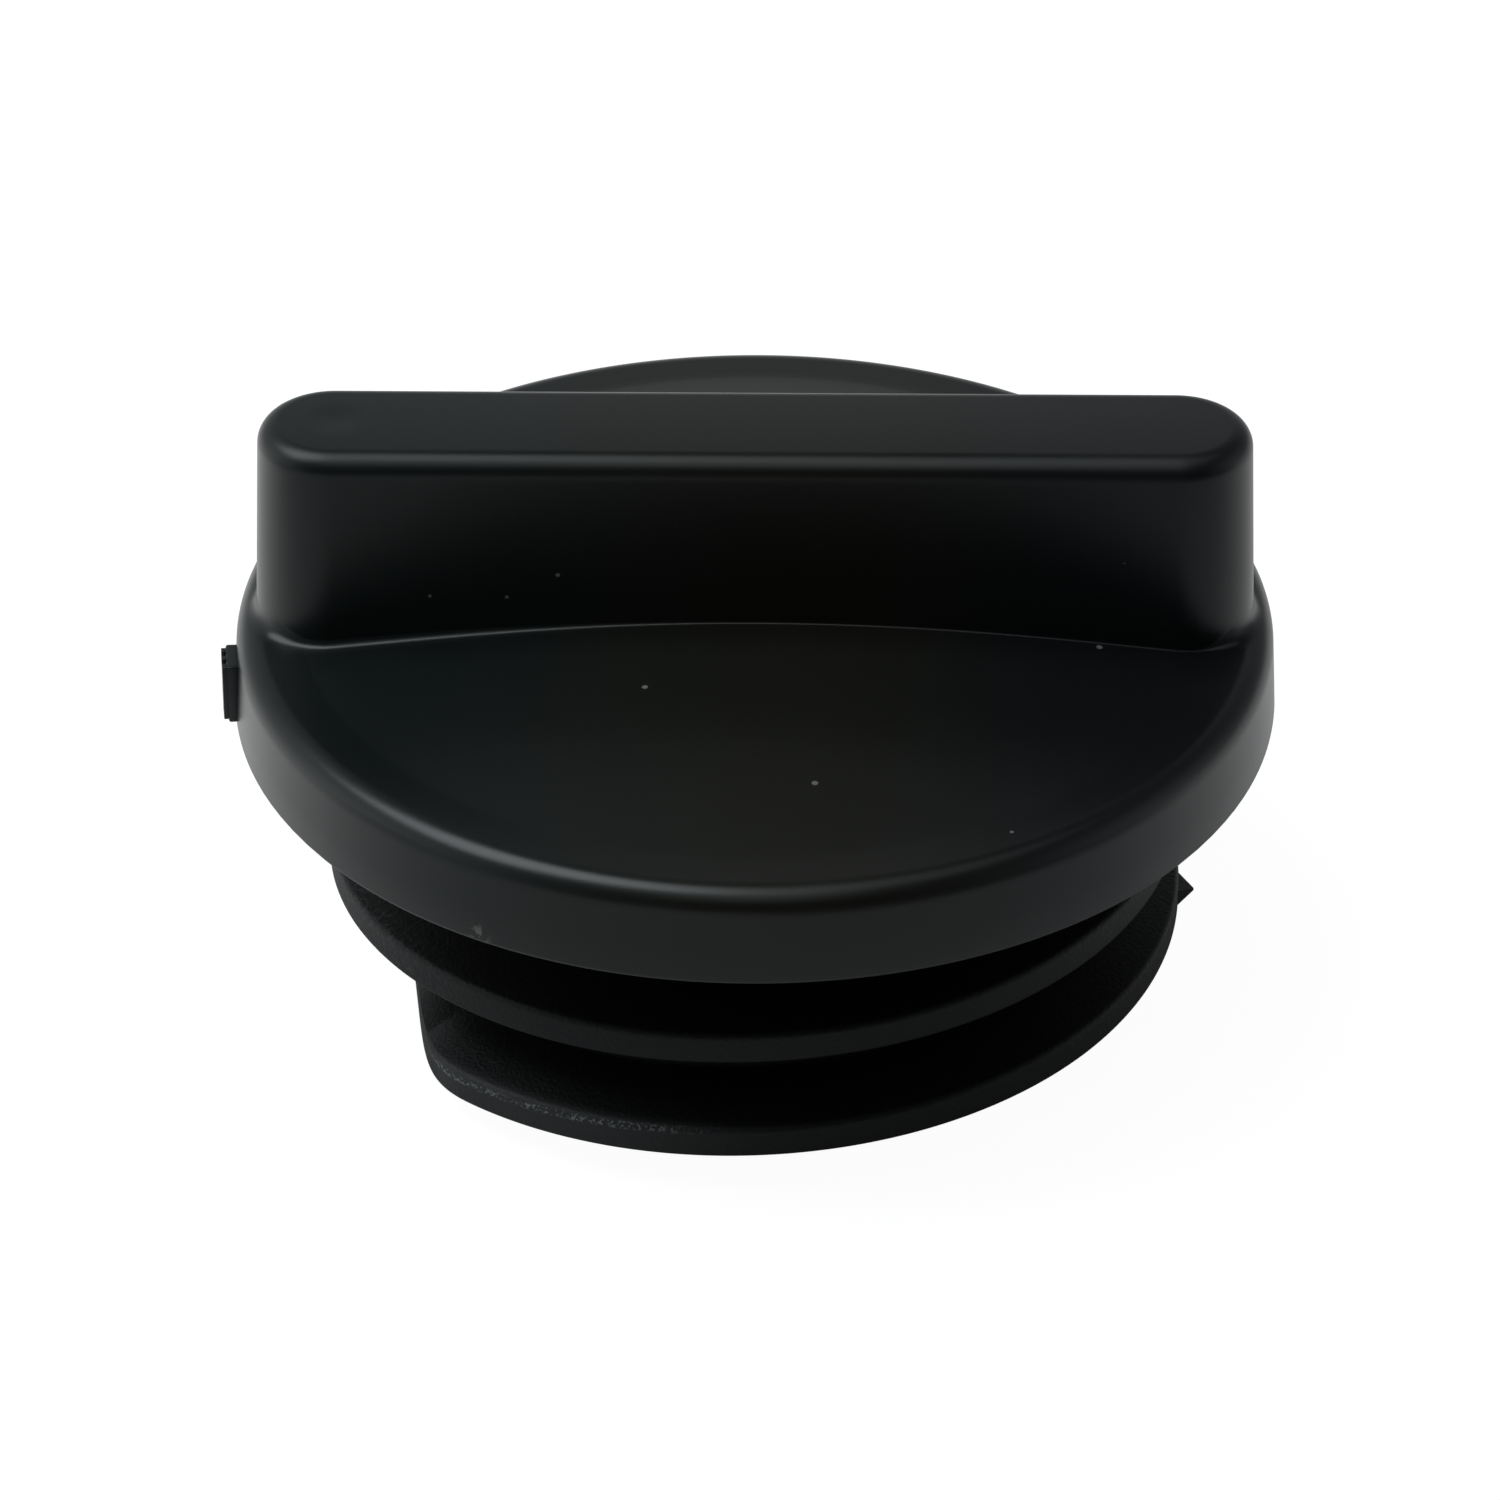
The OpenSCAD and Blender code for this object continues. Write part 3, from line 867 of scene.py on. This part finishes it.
# %% World
world = bpy.data.worlds.new("studio")
bpy.context.scene.world = world
world.use_nodes = True
world.node_tree.nodes.clear()
graph = Graph(world.node_tree)
direction = graph.node("ShaderNodeTexCoord", {}, {}, out="Generated")
WALLS = ((180, 0.95), (135, 0.35), (90, 0.42), (45, 0.08), (0, 0.45), (270, 0.05))
WALL_RISE = 0.14
WALL_FOCUS = 6
COOL_WHITE = (0.95, 1.0, 1.03, 1)
studio = 0.0
for bearing, strength in WALLS:
    wall = (math.cos(math.radians(bearing)), math.sin(math.radians(bearing)), WALL_RISE)
    facing = graph.node(
        "ShaderNodeVectorMath", {"operation": "DOT_PRODUCT"}, {0: direction, 1: wall}, out="Value",
    )
    studio = facing.math("MAXIMUM", 0).math("POWER", WALL_FOCUS) * strength + studio
light_path = graph.node("ShaderNodeLightPath", {}, {}, out="Is Camera Ray")
lit = graph.node("ShaderNodeBackground", {}, {"Color": COOL_WHITE, "Strength": studio})
plain = graph.node("ShaderNodeBackground", {}, {"Color": (1, 1, 1, 1), "Strength": 1.0})
mixed = graph.node("ShaderNodeMixShader", {}, {0: light_path, 1: lit, 2: plain})
graph.node("ShaderNodeOutputWorld", {}, {0: mixed})

# %% [markdown]
# ## Lights
# The photograph's highlights tell where the lamps were. The rim is brightest on the left, where its
# rounding leans towards a tall soft box high on the left, and the same box lights the bar's left end and
# the line along the bar's front edge. Three weak ones, overhead, in front and close to the bar, keep the
# rest from going flat.

# %% Lamps
COOL_LIGHT = (0.93, 1.0, 1.03)


def lamp(name, place, width, height, power):
    """A soft box that faces the cap, in metres and watts."""
    data = bpy.data.lights.new(name, "AREA")
    data.shape = "RECTANGLE"
    data.size = width
    data.size_y = height
    data.energy = power
    data.color = COOL_LIGHT
    piece = bpy.data.objects.new(name, data)
    bpy.context.scene.collection.objects.link(piece)
    piece.location = place
    piece.rotation_euler = (LOOK_AT - Vector(place)).to_track_quat("-Z", "Y").to_euler()


lamp("lamp_left", (-0.32, 0.0, 0.62), 0.42, 0.55, 3.0)
lamp("lamp_front", (0.0, -0.39, 0.58), 0.35, 0.35, 0.16)
lamp("lamp_near", (0.0, -0.065, 0.17), 0.09, 0.09, 0.014)
lamp("lamp_above", (0.18, 0.0, 0.68), 0.40, 0.40, 0.24)

bpy.context.scene.view_settings.view_transform = "Standard"
